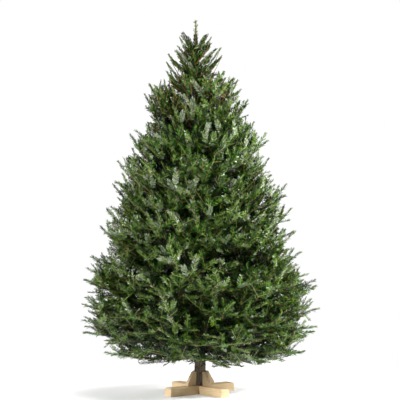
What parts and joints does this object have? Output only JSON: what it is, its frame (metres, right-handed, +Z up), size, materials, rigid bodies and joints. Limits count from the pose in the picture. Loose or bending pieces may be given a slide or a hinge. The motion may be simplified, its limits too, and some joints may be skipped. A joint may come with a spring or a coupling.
{
  "type": "christmas tree",
  "caption": "Cut fir tree with a straight tapering trunk, tiers of boughs under flat sprays of green needles, and a plain half-lapped wooden cross for a stand.",
  "frame": {"origin": "middle of the stand's flat underside, on the floor", "axes": "+Z up along the trunk, -Y towards the front, +X to the right seen from the front"},
  "size_m": [1.2249, 1.1938, 2],
  "materials": {
    "bark": "rough grey-brown fir bark, scaly near the foot and smooth near the tip",
    "needles": "dark green glossy needles with silvery undersides, on yellow-brown twigs",
    "timber": "sawn and planed softwood, untreated"
  },
  "bodies": {
    "root": {"stand_beam_lower": "timber", "stand_beam_upper": "timber", "stand_cleat_1": "timber", "stand_cleat_2": "timber", "stand_cleat_3": "timber", "stand_cleat_4": "timber", "trunk": "bark", "bough_tier1_1": "bark", "bough_tier1_2": "bark", "bough_tier1_3": "bark", "bough_tier1_4": "bark", "bough_tier1_5": "bark", "bough_tier2_1": "bark", "bough_tier2_2": "bark", "bough_tier2_3": "bark", "bough_tier2_4": "bark", "bough_tier2_5": "bark", "bough_tier3_1": "bark", "bough_tier3_2": "bark", "bough_tier3_3": "bark", "bough_tier3_4": "bark", "bough_tier3_5": "bark", "needle_mass_tier1_1": "needles", "needle_mass_tier1_2": "needles", "needle_mass_tier1_3": "needles", "needle_mass_tier1_4": "needles", "needle_mass_tier1_5": "needles", "needle_mass_tier2_1": "needles", "needle_mass_tier2_2": "needles", "needle_mass_tier2_3": "needles", "needle_mass_tier2_4": "needles", "needle_mass_tier2_5": "needles", "needle_mass_tier3_1": "needles", "needle_mass_tier3_2": "needles", "needle_mass_tier3_3": "needles", "needle_mass_tier3_4": "needles", "needle_mass_tier3_5": "needles", "needle_mass_tier4_1": "needles", "needle_mass_tier4_2": "needles", "needle_mass_tier4_3": "needles", "needle_mass_tier4_4": "needles", "needle_mass_tier4_5": "needles", "needle_mass_tier5_1": "needles", "needle_mass_tier5_2": "needles", "needle_mass_tier5_3": "needles", "needle_mass_tier5_4": "needles", "needle_mass_tier5_5": "needles", "needle_mass_tier6_1": "needles", "needle_mass_tier6_2": "needles", "needle_mass_tier6_3": "needles", "needle_mass_tier6_4": "needles", "needle_mass_tier7_1": "needles", "needle_mass_tier7_2": "needles", "needle_mass_tier7_3": "needles", "needle_mass_tier7_4": "needles", "needle_mass_tier8_1": "needles", "needle_mass_tier8_2": "needles", "needle_mass_tier8_3": "needles", "needle_mass_tier8_4": "needles"}
  },
  "joints": []
}
